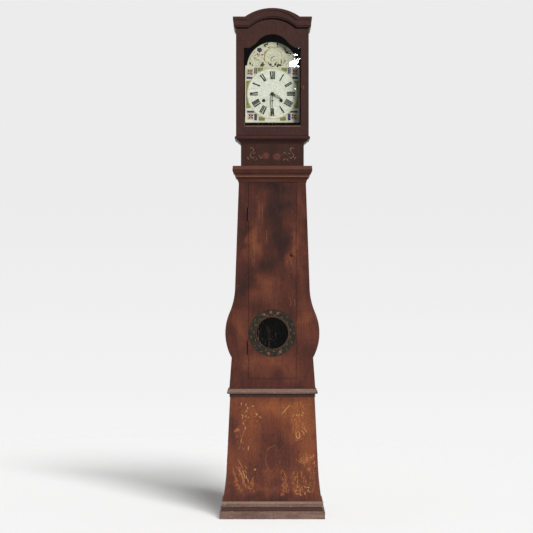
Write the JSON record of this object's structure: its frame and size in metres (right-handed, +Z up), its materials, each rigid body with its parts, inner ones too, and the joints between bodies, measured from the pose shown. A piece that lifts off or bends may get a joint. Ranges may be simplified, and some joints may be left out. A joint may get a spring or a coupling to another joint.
{
  "type": "mora clock",
  "caption": "Tall painted longcase clock with arched hood, painted arched dial, neck, violin-shaped trunk with round pendulum window and flared base on a plinth",
  "frame": {"origin": "on the floor under the middle of the case's bounding box", "axes": "+Z up, the dial faces -Y, +X to the viewer's right"},
  "size_m": [0.473, 0.28, 2.2957],
  "materials": {
    "plinth_paint": "worn grey-brown paint over pine",
    "base_paint": "orange-brown painted graining with flower sprays, satin varnish",
    "trunk_paint": "brown painted graining with a painted wreath, satin varnish",
    "hood_paint": "dark maroon-brown paint, satin varnish",
    "worn_moulding_paint": "rubbed reddish paint with bare edges",
    "bare_pine": "unpainted aged pine",
    "painted_dial": "cream oil paint on sheet iron, slightly crazed",
    "glass": "clear old window glass",
    "brass": "aged brass",
    "dull_brass": "brass darkened by age",
    "bell_metal": "cast bell bronze",
    "steel": "filed steel",
    "blued_steel": "black-blued steel",
    "dark_iron": "dark wrought iron",
    "cast_weight": "dark cast iron",
    "line_gut": "gut line"
  },
  "bodies": {
    "case": {"plinth": "plinth_paint", "base_front": "base_paint", "base_sides": "base_paint", "case_floor": "bare_pine", "backboard": "bare_pine", "waist_moulding": "worn_moulding_paint", "trunk_frame": "trunk_paint", "trunk_sides": "trunk_paint", "trunk_cornice": "trunk_paint", "neck_front": "trunk_paint", "neck_cheeks": "trunk_paint", "neck_ledge": "hood_paint", "seat_board": "bare_pine", "trunk_hinge_case_leaves": "dark_iron", "dial": "painted_dial", "front_plate": "brass", "back_plate": "brass", "plate_pillars": "brass", "back_cock_and_bell_stand": "brass", "bell": "bell_metal", "going_line": "line_gut", "strike_line": "line_gut"},
    "trunk_door": {"trunk_door": "trunk_paint", "window_rim": "worn_moulding_paint", "window_glass": "glass", "trunk_door_fittings": "dark_iron"},
    "trunk_latch": {"trunk_door_latch": "dark_iron"},
    "hood": {"hood_sides": "hood_paint", "hood_roof": "hood_paint", "hood_cornice": "hood_paint", "hood_base_moulding": "hood_paint", "hood_latch_keeper": "dark_iron"},
    "hood_door": {"hood_door_frame": "hood_paint", "hood_door_glass": "glass", "hood_door_fittings": "brass"},
    "hood_latch": {"hood_door_latch": "brass"},
    "minute_train": {"centre_arbor": "brass", "minute_hand": "blued_steel"},
    "minute_wheel": {"minute_wheel": "brass"},
    "hour_train": {"hour_wheel": "brass", "hour_hand": "blued_steel"},
    "third_wheel": {"third_wheel": "brass"},
    "escape_wheel": {"escape_wheel": "brass"},
    "going_great_wheel": {"going_great_wheel": "brass"},
    "going_barrel": {"going_barrel": "brass"},
    "strike_great_wheel": {"strike_great_wheel": "brass"},
    "strike_barrel": {"strike_barrel": "brass"},
    "pin_wheel": {"pin_wheel": "brass"},
    "gathering_wheel": {"gathering_wheel": "brass"},
    "warning_wheel": {"warning_wheel": "brass"},
    "fly": {"fly": "brass"},
    "hammer": {"hammer": "steel"},
    "pallets": {"pallets": "steel"},
    "pendulum": {"pendulum_rod": "dark_iron", "pendulum_bob": "dull_brass", "rating_nut": "dull_brass"},
    "going_weight": {"going_weight": "cast_weight"},
    "strike_weight": {"strike_weight": "cast_weight"},
    "going_pulley": {"going_pulley": "brass"},
    "strike_pulley": {"strike_pulley": "brass"}
  },
  "joints": [
    {"name": "hood_lift", "type": "slide", "parent": "case", "child": "hood", "axis": [0, 0, 1], "range_m": [0, 0.5]},
    {"name": "hood_door_hinge", "type": "hinge", "parent": "hood", "child": "hood_door", "pos_m": [-0.1605, -0.123, 1.96], "axis": [0, 0, -1], "range_deg": [0, 110]},
    {"name": "hood_latch_turn", "type": "hinge", "parent": "hood_door", "child": "hood_latch", "pos_m": [0.1365, -0.116, 1.94], "axis": [0, 1, 0], "range_deg": [0, 90]},
    {"name": "trunk_door_hinge", "type": "hinge", "parent": "case", "child": "trunk_door", "pos_m": [-0.1076, -0.1133, 1.07], "axis": [0, 0, -1], "range_deg": [0, 100]},
    {"name": "trunk_latch_turn", "type": "hinge", "parent": "trunk_door", "child": "trunk_latch", "pos_m": [0.093, -0.101, 1.19], "axis": [0, 1, 0], "range_deg": [0, 90]},
    {"name": "minute_turn", "type": "hinge", "parent": "case", "child": "minute_train", "pos_m": [0, -0.04, 1.914], "axis": [0, 1, 0], "continuous": true},
    {"name": "minute_wheel_turn", "type": "hinge", "parent": "case", "child": "minute_wheel", "pos_m": [0, -0.04, 1.8888], "axis": [0, 1, 0], "continuous": true},
    {"name": "hour_turn", "type": "hinge", "parent": "case", "child": "hour_train", "pos_m": [0, -0.04, 1.914], "axis": [0, 1, 0], "continuous": true},
    {"name": "third_turn", "type": "hinge", "parent": "case", "child": "third_wheel", "pos_m": [0.01803, -0.04, 1.93659], "axis": [0, 1, 0], "continuous": true},
    {"name": "escape_turn", "type": "hinge", "parent": "case", "child": "escape_wheel", "pos_m": [0, -0.04, 1.95462], "axis": [0, 1, 0], "continuous": true},
    {"name": "going_great_turn", "type": "hinge", "parent": "case", "child": "going_great_wheel", "pos_m": [0.0391, -0.04, 1.8828], "axis": [0, 1, 0], "continuous": true},
    {"name": "gathering_turn", "type": "hinge", "parent": "case", "child": "gathering_wheel", "pos_m": [-0.03605, -0.04, 1.95121], "axis": [0, 1, 0], "continuous": true},
    {"name": "pin_turn", "type": "hinge", "parent": "case", "child": "pin_wheel", "pos_m": [-0.05204, -0.04, 1.92512], "axis": [0, 1, 0], "continuous": true},
    {"name": "strike_great_turn", "type": "hinge", "parent": "case", "child": "strike_great_wheel", "pos_m": [-0.0391, -0.04, 1.8828], "axis": [0, 1, 0], "continuous": true},
    {"name": "warning_turn", "type": "hinge", "parent": "case", "child": "warning_wheel", "pos_m": [-0.05462, -0.04, 1.96309], "axis": [0, 1, 0], "continuous": true},
    {"name": "fly_turn", "type": "hinge", "parent": "case", "child": "fly", "pos_m": [-0.04198, -0.04, 1.97618], "axis": [0, 1, 0], "continuous": true},
    {"name": "hammer_lift", "type": "hinge", "parent": "case", "child": "hammer", "pos_m": [-0.078, -0.04, 1.959], "axis": [0, -1, 0], "range_deg": [0, 15]},
    {"name": "pendulum_swing", "type": "hinge", "parent": "case", "child": "pendulum", "pos_m": [0, 0.015, 1.985], "axis": [0, 1, 0], "range_deg": [-3, 3]},
    {"name": "pallets_rock", "type": "hinge", "parent": "case", "child": "pallets", "pos_m": [0, -0.04, 1.985], "axis": [0, 1, 0], "range_deg": [-3.2, 3.2]},
    {"name": "going_wind", "type": "slide", "parent": "case", "child": "going_weight", "axis": [0, 0, 1], "range_m": [0, 1.08], "deforming": ["going_line"]},
    {"name": "going_barrel_turn", "type": "hinge", "parent": "case", "child": "going_barrel", "pos_m": [0.0391, -0.04, 1.8828], "axis": [0, 1, 0], "range_deg": [0, 5406.32]},
    {"name": "going_pulley_turn", "type": "hinge", "parent": "going_weight", "child": "going_pulley", "pos_m": [0.0391, -0.049, 0.656], "axis": [0, 1, 0], "range_deg": [0, 2703.16]},
    {"name": "strike_wind", "type": "slide", "parent": "case", "child": "strike_weight", "axis": [0, 0, 1], "range_m": [0, 1.08], "deforming": ["strike_line"]},
    {"name": "strike_barrel_turn", "type": "hinge", "parent": "case", "child": "strike_barrel", "pos_m": [-0.0391, -0.04, 1.8828], "axis": [0, 1, 0], "range_deg": [0, 5406.32]},
    {"name": "strike_pulley_turn", "type": "hinge", "parent": "strike_weight", "child": "strike_pulley", "pos_m": [-0.0391, -0.049, 0.656], "axis": [0, 1, 0], "range_deg": [0, 2703.16]}
  ],
  "couplings": [
    {"joint": "minute_wheel_turn", "follows": "minute_turn", "ratio": -0.33333},
    {"joint": "hour_turn", "follows": "minute_turn", "ratio": 0.083333},
    {"joint": "third_turn", "follows": "minute_turn", "ratio": -7.5},
    {"joint": "escape_turn", "follows": "minute_turn", "ratio": 56.25},
    {"joint": "going_great_turn", "follows": "minute_turn", "ratio": -0.083333},
    {"joint": "pin_turn", "follows": "gathering_turn", "ratio": -0.125},
    {"joint": "strike_great_turn", "follows": "gathering_turn", "ratio": 0.011905},
    {"joint": "warning_turn", "follows": "gathering_turn", "ratio": -8},
    {"joint": "fly_turn", "follows": "gathering_turn", "ratio": 56},
    {"joint": "pallets_rock", "follows": "pendulum_swing", "ratio": 1},
    {"joint": "going_barrel_turn", "follows": "going_wind", "rad_per_m": 87.336},
    {"joint": "going_pulley_turn", "follows": "going_wind", "rad_per_m": 43.668},
    {"joint": "strike_barrel_turn", "follows": "strike_wind", "rad_per_m": 87.336},
    {"joint": "strike_pulley_turn", "follows": "strike_wind", "rad_per_m": 43.668}
  ]
}
